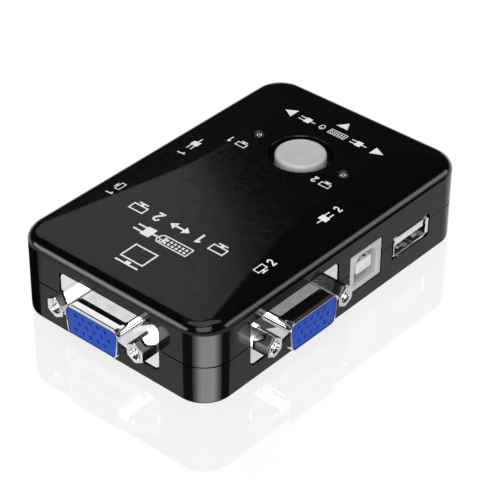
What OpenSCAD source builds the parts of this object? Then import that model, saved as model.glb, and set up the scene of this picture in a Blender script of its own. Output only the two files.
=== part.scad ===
// Two-port KVM switch: a low two-part plastic case round a circuit board, with three
// 15-way video sockets, two USB-B sockets, three USB-A sockets and a press button.
// X runs across the case (computer 1 side is +X), Y runs along it (monitor end is +Y),
// Z is up, and the origin is the middle of the case's underside. Sizes are in mm.

/* [Case] */
// Width of the case, between the two computer sides
case_w = 60; // [59:0.5:64]
// Length of the case, from the console end to the monitor end
case_l = 94; // [93:0.5:100]
// Height of the case at the rim of its top face
case_h = 21.6; // [21.2:0.1:24]
// How far the middle of the top face stands above its rim
crown_h = 1; // [0.4:0.1:1.2]
// Radius of the four upright corners
corner_r = 7.7; // [7:0.1:9]
// Radius of the rounded edge round the top face
edge_r = 2.5; // [1.5:0.1:3]
// Thickness of the moulded walls
wall = 2; // [1.8:0.1:2.2]
// Height of the joint between the two covers
parting_z = 10.5; // [10:0.1:11]

/* [Top face] */
// Distance from the monitor end at which the top face reaches its full height
slope_monitor = 50; // [40:1:52]
// Distance from each long side at which the top face reaches its full height
slope_side = 14; // [11:0.5:15]
// Distance from the console end at which the top face reaches its full height
slope_console = 12; // [8:0.5:14]

/* [Button] */
// Distance of the button from the case's middle, towards the console end
button_back = 20.4; // [19:0.1:22]
// Diameter of the button's face
button_d = 12.8; // [12:0.1:13]
// Diameter of the well that the button stands in, at its rim
well_d = 16; // [15.8:0.1:16.4]
// Depth of the well, from the top face to its floor
well_depth = 3.8; // [3:0.1:4]
// Height of the button's face above the top cover at rest
button_proud = 0.4; // [0.4:0.1:1.2]
// How far the button travels when it is pressed
button_travel = 0.4; // [0.2:0.05:0.5]

/* [Lamps] */
// Distance of each lamp from the case's middle line
lamp_x = 13.3; // [13:0.1:14.2]
// Diameter of a lamp's dome
lamp_d = 3; // [2.8:0.1:3]

/* [Sockets] */
// Height of the video sockets' middle line
vga_z = 10.4; // [10.2:0.1:10.8]
// Position along the case of the two computer video sockets
vga_side_y = 16.7; // [16:0.1:17.5]
// Height of the USB-B sockets' middle line
usb_b_z = 9.9; // [9.9:0.1:10.2]
// Position along the case of the USB-B sockets
usb_b_y = -8.9; // [-9.5:0.1:-8.5]
// Height of the USB-A sockets' middle line
usb_a_z = 8.9; // [8.9:0.1:9.3]
// Position along the case of the two side USB-A sockets
usb_a_y = -26.3; // [-27:0.1:-26]

/* [Board] */
// Thickness of the circuit board
pcb_t = 1.6; // [1.2:0.2:1.6]

/* [Hidden] */
$fn = 64;

slack = 0.05;                     // gap between pieces that are pushed together
cut = 1;                          // overrun of a cutting shape past the surface it cuts
seam_gap = 0.15;                  // open line between the two covers
plateau_z = case_h + crown_h;
ceiling_z = case_h - wall;
lip_t = 0.8;                      // locating lip inside the seam
lip_h = 1;

board_top = usb_b_z - 5.2;
board_bottom = board_top - pcb_t;
board_gap = 0.5;                  // between the board and the inside of the walls
board_w = case_w - 2*wall - 2*board_gap;
board_l = case_l - 2*wall - 2*board_gap;

// Fixings of the case: four self-tapping screws in posts near the corners
post_x = case_w/2 - 6.5;
post_y = case_l/2 - 6.5;
post_r = 3.1;
screw_r = 1.25;
screw_l = 10;
screw_head_r = 2.2;
screw_head_h = 1.5;
screw_sink = 3;                   // depth of a head's face inside the underside
screw_hole_r = screw_head_r + 0.2;
board_post_x = 10;
board_post_y = 3;
board_screw_r = 0.95;
board_screw_l = 3.6;
board_screw_head_r = 1.9;

// Button and its switch
button_y = -button_back;
button_r = button_d/2;
button_gap = 0.25;
button_top = plateau_z + button_proud;
well_taper = 0.8;                 // the well's wall leans in this far from rim to floor
well_floor_z = plateau_z - well_depth;
well_floor_t = 1;
collar_t = 1.2;
collar_z = well_floor_z - well_floor_t;
flange_gap = 0.2;
flange_z = collar_z - flange_gap;
flange_t = 0.8;
flange_r = button_r + 0.9;
stem_r = 2.2;
tact_w = 12;
tact_h = 3.5;
tact_plate_t = 0.3;
tact_floor = 1.2;
tact_well_r = 3.7;
tact_hole_r = 2.8;
plunger_r = 3.5;
plunger_neck_r = 2.6;
plunger_flange_t = 1;
plunger_top = board_top + 7.3;
plunger_key_w = 3.8;
dome_z = board_top + tact_floor;
plate_z = board_top + tact_h;
plunger_z = plate_z - slack - plunger_flange_t;

// Lamps
lamp_r = lamp_d/2;
lamp_base_r = lamp_r + 0.4;
lamp_base_t = 1;
lamp_proud = 0.7;
lamp_centre_z = plateau_z + lamp_proud - lamp_r;
lamp_base_z = ceiling_z - 0.3 - lamp_base_t;
lamp_hole_r = lamp_r + 0.15;
lead_w = 0.5;
lead_pitch = 2.54;

// Leads soldered through the board
tail_l = 0.8;                     // reach below the board
tail_w = 0.6;
tail_t = 0.5;
tail_hole_r = 0.45;
tact_pin_hole_r = 0.6;

// 15-way video socket, drawn with +Y out of the wall and its middle line at z = 0
vga_flange_w = 30.8;
vga_flange_h = 12.1;
vga_flange_t = 0.8;
vga_flange_r = 1.5;
vga_inset = 0.6;                  // flange face behind the outside of the wall
vga_window_gap = 0.2;
vga_shell_l = 6;                  // from the flange face to the mouth
vga_shell_w = 16.8;
vga_shell_h = 7.9;
vga_shell_t = 0.3;
vga_slant = 6;                    // lean of the two short sides, in degrees
vga_round = 1.5;
vga_front = vga_shell_l - vga_inset;
vga_back = -vga_inset - vga_flange_t;
vga_insert_sink = 0.3;
vga_body_w = 19;
vga_body_l = 8.4;
vga_body_top = 5.6;
vga_hole_r = 0.55;
vga_pitch = 2.29;
vga_row = 1.98;
vga_rows = 3;
vga_ways = 5;
vga_pin_r = 0.42;
vga_pin_bore_r = 0.22;
jack_spacing = 25;
jack_af = 4.75;                   // across the flats
jack_l = 5;
jack_bore_r = 1.15;
jack_bore_l = 5.5;
jack_stud_r = 1.35;
jack_stud_l = 6.5;
bracket_w = 5;
bracket_h = 10;
bracket_t = 3;

// USB-B socket
usb_b_w = 11.6;
usb_b_h = 10.4;
usb_b_l = 15.5;
usb_b_front = -0.1;
usb_b_gap = 0.2;
usb_b_mouth_w = 8.45;
usb_b_mouth_h = 7.78;
usb_b_chamfer = 1.9;
usb_b_mouth_l = 9;
usb_b_tongue_w = 5.6;
usb_b_tongue_h = 3.2;
usb_b_tongue_sink = 0.5;
usb_b_shield_t = 0.3;
usb_b_shield_front = -3.2;
usb_b_foot_w = 1.2;
usb_b_foot_y = usb_b_front - usb_b_l + 5;
usb_b_way_x = 1.25;

// USB-A socket
usb_a_in_w = 12.5;
usb_a_in_h = 5.12;
usb_a_t = 0.3;
usb_a_l = 13;
usb_a_lip_w = 14.4;               // over the flared lips
usb_a_lip_h = 6.1;
usb_a_lip_l = 0.9;
usb_a_lip_cut = 0.9;              // notch at each corner between two lips
usb_a_gap = 0.1;
usb_a_tongue_w = 11.1;
usb_a_tongue_h = 1.84;
usb_a_tongue_z = 0.05;            // underside of the tongue above the middle line
usb_a_tongue_sink = 0.7;
usb_a_back_t = 1.3;               // moulding behind the shell
usb_a_tail_y = -usb_a_l - usb_a_back_t - 0.6;
usb_a_ways = [-3.5, -1, 1, 3.5];
usb_a_foot_w = 1.2;
usb_a_foot_y = -9;

// Parts on the board
controller_y = -7;
video_chip_ys = [13, 21, 29];

function d_corner_x(w, h, r, z) = w/2 - (h/2 - z)*tan(vga_slant) - r/cos(vga_slant);

// --- Shared shapes -----------------------------------------------------------------

module mirrored_x() {
  for (s = [0, 1]) mirror([s, 0]) children();
}

module at_corners(x, y) {
  for (sx = [-1, 1], sy = [-1, 1]) translate([sx*x, sy*y]) children();
}

module round_rect(w, l, r) {
  square([w - 2*r, l], center = true);
  square([w, l - 2*r], center = true);
  at_corners(w/2 - r, l/2 - r) circle(r);
}

// Half section of a wall edge: upright outside, arc of radius f at the top
module edge_section(r, h, f) {
  square([r - f, h]);
  square([r, h - f]);
  translate([r - f, h - f]) circle(f);
}

// Block with upright corners of radius r and a rounded edge of radius f round its top
module soft_block(w, l, r, h, f) {
  straight_x = w/2 - r;
  straight_y = l/2 - r;
  translate([-straight_x, -straight_y, 0]) cube([2*straight_x, 2*straight_y, h]);
  for (turn = [0, 180]) rotate(turn) {
    translate([straight_x, 0, 0]) rotate([90, 0, 0])
      linear_extrude(2*straight_y, center = true) edge_section(r, h, f);
    translate([0, straight_y, 0]) rotate([90, 0, 90])
      linear_extrude(2*straight_x, center = true) edge_section(r, h, f);
    translate([straight_x, straight_y, 0])
      rotate_extrude(angle = 90) edge_section(r, h, f);
    translate([-straight_x, straight_y, 0]) rotate(90)
      rotate_extrude(angle = 90) edge_section(r, h, f);
  }
}

// Shallow hipped rise of the top face, from z = 0 at its rim
module crown() {
  w = case_w - 2*edge_r;
  l = case_l - 2*edge_r;
  side_run = slope_side - edge_r;
  monitor_run = slope_monitor - edge_r;
  console_run = slope_console - edge_r;
  intersection() {
    linear_extrude(crown_h) round_rect(w, l, corner_r - edge_r);
    rotate([90, 0, 0]) linear_extrude(l, center = true)
      polygon([[-w/2, 0], [w/2, 0], [w/2 - side_run, crown_h], [side_run - w/2, crown_h]]);
    rotate([90, 0, 90]) linear_extrude(w, center = true)
      polygon([[-l/2, 0], [l/2, 0], [l/2 - monitor_run, crown_h],
               [console_run - l/2, crown_h]]);
  }
}

// Places a socket drawn with +Y pointing out of the wall
module on_side(side, y, z) {
  translate([side*case_w/2, y, z]) rotate(-90*side) children();
}

module on_monitor_end(z) {
  translate([0, case_l/2, z]) children();
}

module on_console_end(z) {
  translate([0, -case_l/2, z]) rotate(180) children();
}

module upright(t) {
  rotate([90, 0, 0]) linear_extrude(t) children();
}

// Slab standing in the wall's plane from y = back to y = front
module wall_slab(front, back) {
  translate([0, front, 0]) upright(front - back) children();
}

module vga_window() {
  wall_slab(cut, -wall - cut)
    round_rect(vga_flange_w + 2*vga_window_gap, vga_flange_h + 2*vga_window_gap, vga_flange_r);
}

module usb_b_window() {
  wall_slab(cut, -wall - cut)
    square([usb_b_w + 2*usb_b_gap, usb_b_h + 2*usb_b_gap], center = true);
}

module usb_a_window() {
  wall_slab(cut, -wall - cut)
    square([usb_a_lip_w + 2*usb_a_gap, usb_a_lip_h + 2*usb_a_gap], center = true);
}

module socket_windows() {
  on_monitor_end(vga_z) vga_window();
  for (side = [-1, 1]) {
    on_side(side, vga_side_y, vga_z) vga_window();
    on_side(side, usb_b_y, usb_b_z) usb_b_window();
    on_side(side, usb_a_y, usb_a_z) usb_a_window();
  }
  on_console_end(usb_a_z) usb_a_window();
}

// --- Case --------------------------------------------------------------------------

module cavity_outline(gap) {
  round_rect(case_w - 2*wall + 2*gap, case_l - 2*wall + 2*gap, corner_r - wall + gap);
}

module bottom_cover() {
  body_h = parting_z - seam_gap;
  foot_r = 0.6;
  color("#141416") difference() {
    union() {
      difference() {
        translate([0, 0, body_h]) mirror([0, 0, 1])
          soft_block(case_w, case_l, corner_r, body_h, foot_r);
        translate([0, 0, wall]) linear_extrude(body_h) cavity_outline(0);
      }
      translate([0, 0, body_h]) linear_extrude(lip_h) difference() {
        cavity_outline(lip_t);
        cavity_outline(0);
      }
      at_corners(post_x, post_y) cylinder(r = post_r, h = body_h);
      for (s = [-1, 1]) translate([s*board_post_x, board_post_y, 0])
        cylinder(r = 2, h = board_bottom);
    }
    at_corners(post_x, post_y) {
      translate([0, 0, -cut]) cylinder(r = screw_hole_r, h = screw_sink + cut);
      cylinder(r = screw_r + 0.15, h = body_h + cut);
    }
    for (s = [-1, 1]) translate([s*board_post_x, board_post_y, wall/2])
      cylinder(r = board_screw_r + slack, h = board_bottom);
    socket_windows();
  }
}

module top_cover() {
  rebate = lip_t + 0.1;
  color("#141416") difference() {
    union() {
      difference() {
        union() {
          soft_block(case_w, case_l, corner_r, case_h, edge_r);
          translate([0, 0, case_h]) crown();
        }
        translate([0, 0, -cut]) cube([2*case_w, 2*case_l, 2*(parting_z + cut)], center = true);
        linear_extrude(ceiling_z) cavity_outline(0);
        linear_extrude(parting_z + lip_h) cavity_outline(rebate);
      }
      at_corners(post_x, post_y) translate([0, 0, parting_z])
        cylinder(r = post_r, h = ceiling_z - parting_z);
      translate([0, button_y, collar_z])
        cylinder(r = well_d/2 + collar_t, h = ceiling_z - collar_z);
    }
    at_corners(post_x, post_y) cylinder(r = screw_r + slack, h = screw_sink + screw_l + 1);
    translate([0, button_y, 0]) {
      cylinder(r = button_r + button_gap, h = plateau_z + cut);
      translate([0, 0, well_floor_z])
        cylinder(r1 = well_d/2 - well_taper, r2 = well_d/2, h = well_depth);
    }
    for (s = [-1, 1]) translate([s*lamp_x, button_y, 0])
      cylinder(r = lamp_hole_r, h = plateau_z + cut);
    socket_windows();
  }
}

module cross_recess(size, depth) {
  arm = size/4;
  for (turn = [0, 90]) rotate(turn)
    translate([0, 0, -cut + depth/2]) cube([size, arm, depth + 2*cut], center = true);
}

module case_screws() {
  color("#b9bcc0") at_corners(post_x, post_y) translate([0, 0, screw_sink]) difference() {
    union() {
      translate([0, 0, -screw_head_h]) cylinder(r = screw_head_r, h = screw_head_h);
      cylinder(r = screw_r, h = screw_l);
    }
    translate([0, 0, -screw_head_h]) cross_recess(2.4, 0.8);
  }
}

// --- Board -------------------------------------------------------------------------

module pcb() {
  color("#1f6b3a") translate([0, 0, board_bottom]) difference() {
    linear_extrude(pcb_t) round_rect(board_w, board_l, corner_r - wall - board_gap);
    at_corners(post_x, post_y) translate([0, 0, -cut])
      cylinder(r = post_r + 0.2, h = pcb_t + 2*cut);
    for (s = [-1, 1]) translate([s*board_post_x, board_post_y, -cut])
      cylinder(r = board_screw_r + 0.2, h = pcb_t + 2*cut);
    lead_holes();
  }
}

// Holes in the board for everything that is soldered through it
module lead_holes() {
  on_monitor_end(-cut) vga_tail_holes();
  on_console_end(-cut) usb_a_tail_holes();
  for (side = [-1, 1]) {
    on_side(side, vga_side_y, -cut) vga_tail_holes();
    on_side(side, usb_b_y, -cut) usb_b_tail_holes();
    on_side(side, usb_a_y, -cut) usb_a_tail_holes();
    translate([side*lamp_x, button_y, -cut]) lead_pair() tail_hole();
  }
  translate([0, button_y, -cut]) tact_leads() cylinder(r = tact_pin_hole_r, h = pcb_t + 2*cut);
}

module tail_hole() {
  cylinder(r = tail_hole_r, h = pcb_t + 2*cut);
}

module foot_slot(w) {
  translate([-0.3, -0.2, 0]) cube([0.6, w + 0.4, pcb_t + 2*cut]);
}

module vga_tail_holes() {
  for (row = [0:vga_rows - 1], way = [0:vga_ways - 1])
    translate([vga_way_x(row, way), vga_tail_y(row), 0]) tail_hole();
}

module usb_b_tail_holes() {
  for (sx = [-1, 1], sz = [-1, 1])
    translate([sx*usb_b_way_x, usb_b_tail_y(sz) + tail_t/2, 0]) tail_hole();
  for (s = [-1, 1])
    translate([s*(usb_b_w/2 + slack + usb_b_shield_t/2), usb_b_foot_y, 0]) foot_slot(usb_b_foot_w);
}

module usb_a_tail_holes() {
  for (x = usb_a_ways) translate([x, usb_a_tail_y + tail_t/2, 0]) tail_hole();
  for (s = [-1, 1])
    translate([s*(usb_a_in_w + usb_a_t)/2, usb_a_foot_y, 0]) foot_slot(usb_a_foot_w);
}

module lead_pair() {
  for (s = [-1, 1]) translate([0, s*lead_pitch/2, 0]) children();
}

module tact_leads() {
  for (sx = [-1, 1], sy = [-1, 1]) translate([sx*(tact_w/2 + 0.25), sy*2.5, 0]) children();
}

module pcb_screws() {
  color("#b9bcc0") for (s = [-1, 1]) translate([s*board_post_x, board_post_y, board_top])
    difference() {
      union() {
        cylinder(r = board_screw_head_r, h = 1.2);
        translate([0, 0, -board_screw_l]) cylinder(r = board_screw_r, h = board_screw_l + slack);
      }
      translate([0, 0, 0.6]) cross_recess(2, 0.8);
    }
}

// --- Button and tactile switch -----------------------------------------------------

module button_cap() {
  bevel = 0.45;
  cap_t = 1.3;
  skirt_in = button_r - 1.2;
  color("#c9cacc") translate([0, button_y, 0]) {
    rotate_extrude() polygon([
      [0, button_top - cap_t], [skirt_in, button_top - cap_t],
      [skirt_in, flange_z - flange_t], [flange_r, flange_z - flange_t],
      [flange_r, flange_z], [button_r, flange_z],
      [button_r, button_top - bevel], [button_r - bevel, button_top],
      [0, button_top]
    ]);
    translate([0, 0, plunger_top]) cylinder(r = stem_r, h = button_top - plunger_top - cap_t/2);
  }
}

module tact_base() {
  color("#1a1a1c") translate([-tact_w/2, button_y - tact_w/2, board_top]) difference() {
    cube([tact_w, tact_w, tact_h]);
    translate([tact_w/2, tact_w/2, tact_floor]) cylinder(r = tact_well_r, h = tact_h);
  }
}

module tact_plate() {
  color("#c4c6c9") translate([0, button_y, plate_z]) difference() {
    linear_extrude(tact_plate_t) square(tact_w - 0.2, center = true);
    translate([0, 0, -cut]) cylinder(r = tact_hole_r, h = tact_plate_t + 2*cut);
  }
}

module tact_plunger() {
  key_z = plate_z + tact_plate_t + button_travel + 0.3;
  color("#e8e4da") translate([0, button_y, 0]) {
    translate([0, 0, plunger_z]) cylinder(r = plunger_r, h = plunger_flange_t);
    translate([0, 0, plunger_z]) cylinder(r = plunger_neck_r, h = key_z - plunger_z);
    translate([-plunger_key_w/2, -plunger_key_w/2, key_z])
      cube([plunger_key_w, plunger_key_w, plunger_top - key_z]);
  }
}

module tact_dome() {
  t = 0.1;
  rise = plunger_z - dome_z;
  color("#d8b25a") translate([0, button_y, dome_z]) rotate_extrude() polygon([
    [0, rise - t], [1.2, rise - t], [3.2, 0], [3.4, 0], [3.4, t], [3.25, t],
    [1.25, rise], [0, rise]
  ]);
}

module tact_pins() {
  color("#d5d7da") translate([0, button_y, board_bottom - tail_l]) tact_leads()
    translate([-0.15, -0.5, 0]) cube([0.3, 1, pcb_t + tail_l + 2]);
}

// --- Lamps -------------------------------------------------------------------------

module lamp(side) {
  color("#3a3b3f") translate([side*lamp_x, button_y, 0]) {
    translate([0, 0, lamp_base_z]) cylinder(r = lamp_base_r, h = lamp_base_t);
    translate([0, 0, lamp_base_z]) cylinder(r = lamp_r, h = lamp_centre_z - lamp_base_z);
    translate([0, 0, lamp_centre_z]) sphere(lamp_r);
  }
}

module lamp_leads() {
  bottom = board_bottom - tail_l;
  color("#d5d7da") for (side = [-1, 1]) translate([side*lamp_x, button_y, 0]) lead_pair()
    translate([-lead_w/2, -lead_w/2, bottom]) cube([lead_w, lead_w, lamp_base_z - bottom]);
}

module lamp_spacers() {
  spacer_h = lamp_base_z - board_top - slack;
  color("#e6e2d6") for (side = [-1, 1]) translate([side*lamp_x, button_y, board_top])
    difference() {
      cylinder(r = lamp_base_r, h = spacer_h);
      translate([0, 0, -cut]) lead_pair() cylinder(r = tail_hole_r, h = spacer_h + 2*cut);
    }
}

// --- 15-way video socket -----------------------------------------------------------

function vga_way_x(row, way) = (way - (vga_ways - 1)/2)*vga_pitch + (row == 1 ? -1 : 1)*vga_pitch/4;
function vga_way_z(row) = (1 - row)*vga_row;
function vga_tail_y(row) = vga_back - vga_body_l - 0.9 - (vga_rows - 1 - row)*1.27;

// D outline, wide side up, made of a trapezium grown by the corner radius
module d_outline(grow) {
  r = vga_round + grow;
  zc = vga_shell_h/2 - vga_round;
  top_x = d_corner_x(vga_shell_w, vga_shell_h, vga_round, zc);
  low_x = d_corner_x(vga_shell_w, vga_shell_h, vga_round, -zc);
  side = [r*cos(vga_slant), -r*sin(vga_slant)];
  polygon([[-low_x, -zc], [low_x, -zc], [top_x, zc], [-top_x, zc]]);
  polygon([[-top_x, zc], [top_x, zc], [top_x, zc + r], [-top_x, zc + r]]);
  polygon([[-low_x, -zc - r], [low_x, -zc - r], [low_x, -zc], [-low_x, -zc]]);
  mirrored_x() {
    polygon([[low_x, -zc], [low_x + side[0], -zc + side[1]],
             [top_x + side[0], zc + side[1]], [top_x, zc]]);
    translate([low_x, -zc]) circle(r);
    translate([top_x, zc]) circle(r);
  }
}

module jack_positions() {
  for (s = [-1, 1]) translate([s*jack_spacing/2, 0, 0]) children();
}

module vga_shell() {
  color("#c9cbd0") difference() {
    union() {
      wall_slab(-vga_inset, vga_back) round_rect(vga_flange_w, vga_flange_h, vga_flange_r);
      wall_slab(vga_front, vga_back) d_outline(0);
    }
    wall_slab(vga_front + cut, vga_back - cut) d_outline(-vga_shell_t);
    jack_positions() translate([0, cut, 0]) upright(3*cut) circle(jack_stud_r + 0.15);
  }
}

// Holes for the contacts, from y = front back to y = rear
module vga_way_holes(front, rear) {
  for (row = [0:vga_rows - 1], way = [0:vga_ways - 1])
    translate([vga_way_x(row, way), front, vga_way_z(row)])
      upright(front - rear) circle(vga_hole_r);
}

module vga_insert() {
  color("#2f56c8") difference() {
    wall_slab(vga_front - vga_insert_sink, vga_back) d_outline(-vga_shell_t - slack);
    vga_way_holes(vga_front + cut, vga_back - cut);
  }
}

// Moulding behind the flange, standing on the board
module vga_body() {
  drop = vga_z - board_top;
  front = vga_back - slack;
  color("#1a1a1c") difference() {
    translate([-vga_body_w/2, front - vga_body_l, -drop])
      cube([vga_body_w, vga_body_l, drop + vga_body_top]);
    vga_way_holes(front + cut, front - vga_body_l - cut);
  }
}

// Riveted feet that carry the jack screws down to the board
module vga_bracket() {
  drop = vga_z - board_top;
  color("#aeb1b6") jack_positions() difference() {
    translate([-bracket_w/2, vga_back - slack - bracket_t, -drop])
      cube([bracket_w, bracket_t, bracket_h]);
    translate([0, vga_back + cut, 0]) upright(bracket_t + 3*cut) circle(jack_stud_r + slack);
  }
}

module vga_contacts() {
  front = vga_front - vga_insert_sink - 0.6;
  low = board_bottom - tail_l - vga_z;
  color("#d9b75c") for (row = [0:vga_rows - 1], way = [0:vga_ways - 1])
    translate([vga_way_x(row, way), 0, vga_way_z(row)]) {
      tail_y = vga_tail_y(row);
      difference() {
        translate([0, front, 0]) upright(front - tail_y) circle(vga_pin_r);
        translate([0, front + cut, 0]) upright(4 + cut) circle(vga_pin_bore_r);
      }
      translate([-tail_w/2, tail_y - tail_w/2, low - vga_way_z(row)])
        cube([tail_w, tail_w, vga_way_z(row) - low + vga_pin_r]);
    }
}

module vga_jackscrews() {
  face = -vga_inset + jack_l;
  tip = 0.35;
  corner = jack_af/2/cos(30);
  color("#c9cbd0") jack_positions() difference() {
    union() {
      intersection() {
        translate([0, face, 0]) rotate([90, 30, 0]) cylinder(r = corner, h = jack_l, $fn = 6);
        translate([0, -vga_inset, 0]) rotate([-90, 0, 0]) union() {
          cylinder(r = corner + 0.1, h = jack_l - tip);
          translate([0, 0, jack_l - tip])
            cylinder(r1 = corner + 0.1, r2 = jack_af/2 - 0.1, h = tip);
        }
      }
      translate([0, -vga_inset + slack, 0]) upright(jack_stud_l) circle(jack_stud_r);
    }
    translate([0, face + cut, 0]) upright(jack_bore_l + cut) circle(jack_bore_r);
  }
}

// --- USB-B socket ------------------------------------------------------------------

module usb_b_mouth() {
  w = usb_b_mouth_w/2;
  h = usb_b_mouth_h/2;
  polygon([[-w, -h], [w, -h], [w, h - usb_b_chamfer], [w - usb_b_chamfer, h],
           [usb_b_chamfer - w, h], [-w, h - usb_b_chamfer]]);
}

module usb_b_housing() {
  mouth_rear = usb_b_front - usb_b_mouth_l;
  slot_h = 0.25;
  color("#ececea") difference() {
    union() {
      difference() {
        wall_slab(usb_b_front, usb_b_front - usb_b_l) square([usb_b_w, usb_b_h], center = true);
        wall_slab(usb_b_front + cut, mouth_rear) usb_b_mouth();
      }
      wall_slab(usb_b_front - usb_b_tongue_sink, mouth_rear - cut)
        square([usb_b_tongue_w, usb_b_tongue_h], center = true);
    }
    usb_b_contact_bars(0, slot_h + slack);
  }
}

// Four contacts, two above and two below the tongue; the upper pair ends further back
function usb_b_tail_y(sz) = usb_b_front - usb_b_l - 1.2 - (sz + 1);

module usb_b_contact_bars(shrink, t) {
  bar_w = 1 - 2*shrink;
  front = usb_b_front - usb_b_tongue_sink - 0.5 - shrink;
  for (sx = [-1, 1], sz = [-1, 1])
    translate([sx*usb_b_way_x - bar_w/2, usb_b_tail_y(sz),
               sz > 0 ? usb_b_tongue_h/2 - t : -usb_b_tongue_h/2])
      cube([bar_w, front - usb_b_tail_y(sz), t]);
}

module usb_b_contacts() {
  t = 0.2;
  low = board_bottom - tail_l - usb_b_z;
  color("#d9b75c") {
    usb_b_contact_bars(slack, t);
    for (sx = [-1, 1], sz = [-1, 1])
      translate([sx*usb_b_way_x - tail_w/2, usb_b_tail_y(sz), low])
        cube([tail_w, tail_t, (sz > 0 ? usb_b_tongue_h/2 : t - usb_b_tongue_h/2) - low]);
  }
}

module usb_b_shield() {
  front = usb_b_shield_front;
  back = usb_b_front - usb_b_l + 1;
  in_w = usb_b_w + 2*slack;
  top = usb_b_h/2 + slack;
  low = board_top - usb_b_z;
  color("#c4c6c9") {
    translate([-in_w/2 - usb_b_shield_t, back, top])
      cube([in_w + 2*usb_b_shield_t, front - back, usb_b_shield_t]);
    for (s = [0, 1]) mirror([s, 0, 0]) {
      translate([in_w/2, back, low + slack])
        cube([usb_b_shield_t, front - back, top - low]);
      translate([in_w/2, usb_b_foot_y, low - pcb_t - tail_l])
        cube([usb_b_shield_t, usb_b_foot_w, pcb_t + tail_l + 1]);
    }
  }
}

// --- USB-A socket ------------------------------------------------------------------

module usb_a_shell() {
  out_w = usb_a_in_w + 2*usb_a_t;
  out_h = usb_a_in_h + 2*usb_a_t;
  lip_root = -usb_a_lip_l;
  foot_low = board_bottom - tail_l - usb_a_z;
  color("#c9cbd0") {
    difference() {
      wall_slab(lip_root, -usb_a_l) square([out_w, out_h], center = true);
      wall_slab(lip_root + cut, -usb_a_l - cut) square([usb_a_in_w, usb_a_in_h], center = true);
    }
    for (s = [0, 1]) {
      mirror([s, 0, 0]) usb_a_lip(out_w/2, usb_a_lip_w/2, usb_a_in_h/2 - 0.3);
      mirror([0, 0, s]) rotate([0, 90, 0])
        usb_a_lip(out_h/2, usb_a_lip_h/2, usb_a_in_w/2 - usb_a_lip_cut);
      mirror([s, 0, 0]) translate([usb_a_in_w/2, usb_a_foot_y, foot_low])
        cube([usb_a_t, usb_a_foot_w, -foot_low]);
    }
  }
}

// One flared lip: leans out from the shell's end to the outside of the wall
module usb_a_lip(root, reach, half) {
  t = usb_a_t;
  linear_extrude(2*half, center = true)
    polygon([[root - t, -usb_a_lip_l - t], [root, -usb_a_lip_l - t],
             [root, -usb_a_lip_l], [reach, 0], [reach - t, 0], [root - t, -usb_a_lip_l]]);
}

module usb_a_insulator() {
  low = board_top - usb_a_z;
  rear = -usb_a_l - usb_a_back_t;
  half_w = usb_a_in_w/2 - slack;
  half_h = usb_a_in_h/2 - slack;
  base_w = 10;
  block_l = 3;
  color("#ececea") difference() {
    union() {
      translate([-usb_a_tongue_w/2, rear, usb_a_tongue_z])
        cube([usb_a_tongue_w, -rear - usb_a_tongue_sink, usb_a_tongue_h]);
      translate([-half_w, rear, -half_h])
        cube([2*half_w, usb_a_back_t + block_l, 2*half_h]);
      translate([-base_w/2, rear, low]) cube([base_w, usb_a_back_t - slack, half_h - low]);
      translate([-base_w/2, rear, low])
        cube([base_w, usb_a_back_t + usb_a_l - wall - 1, -low - usb_a_in_h/2 - usb_a_t - slack]);
    }
    usb_a_bars(0, 0.25);
  }
}

// Four contacts under the tongue
module usb_a_bars(shrink, t) {
  bar_w = 1.1 - 2*shrink;
  front = -usb_a_tongue_sink - 0.6 - shrink;
  for (x = usb_a_ways) translate([x - bar_w/2, usb_a_tail_y, usb_a_tongue_z])
    cube([bar_w, front - usb_a_tail_y, t]);
}

module usb_a_contacts() {
  t = 0.2;
  low = board_bottom - tail_l - usb_a_z;
  color("#d9b75c") {
    usb_a_bars(slack, t);
    for (x = usb_a_ways) translate([x - tail_w/2, usb_a_tail_y, low])
      cube([tail_w, tail_t, usb_a_tongue_z - low + t]);
  }
}

// --- Parts on the board ------------------------------------------------------------

module gull_leads(count, pitch, half, reach) {
  for (i = [0:count - 1], s = [-1, 1])
    translate([(i - (count - 1)/2)*pitch - 0.2, s > 0 ? half : -half - reach, 0]) {
      cube([0.4, reach, 0.2]);
      translate([0, s > 0 ? 0 : reach - 0.2, 0]) cube([0.4, 0.2, 1]);
    }
}

module on_board(x, y) {
  translate([x, y, board_top]) children();
}

module controller_chip() {
  color("#1c1c1e") on_board(0, controller_y) translate([-6.4, -3.7, 0.1]) cube([12.8, 7.4, 2.2]);
}

module controller_leads() {
  color("#d5d7da") on_board(0, controller_y) gull_leads(10, 1.27, 3.7, 1.3);
}

module video_chips() {
  color("#1c1c1e") for (y = video_chip_ys) on_board(0, y)
    translate([-4.95, -1.95, 0.1]) cube([9.9, 3.9, 1.6]);
}

module video_chip_leads() {
  color("#d5d7da") for (y = video_chip_ys) on_board(0, y) gull_leads(8, 1.27, 1.95, 1);
}

module crystal() {
  r = 2.35;
  half_l = 3.2;
  color("#c4c6c9") on_board(0, 3.5) linear_extrude(3.5) {
    square([2*half_l, 2*r], center = true);
    for (s = [-1, 1]) translate([s*half_l, 0]) circle(r);
  }
}

module capacitors() {
  r = 2.5;
  color("#2c3550") for (p = [[-12.5, 13], [-12.5, 22], [12.5, 22]]) on_board(p[0], p[1])
    cylinder(r = r, h = 7);
}

module chip_resistors() {
  color("#26262a") for (y = [8, 17, 25], x = [-6, -2, 2, 6]) on_board(x, y)
    translate([-1, -0.6, 0]) cube([2, 1.2, 0.5]);
}

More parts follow.
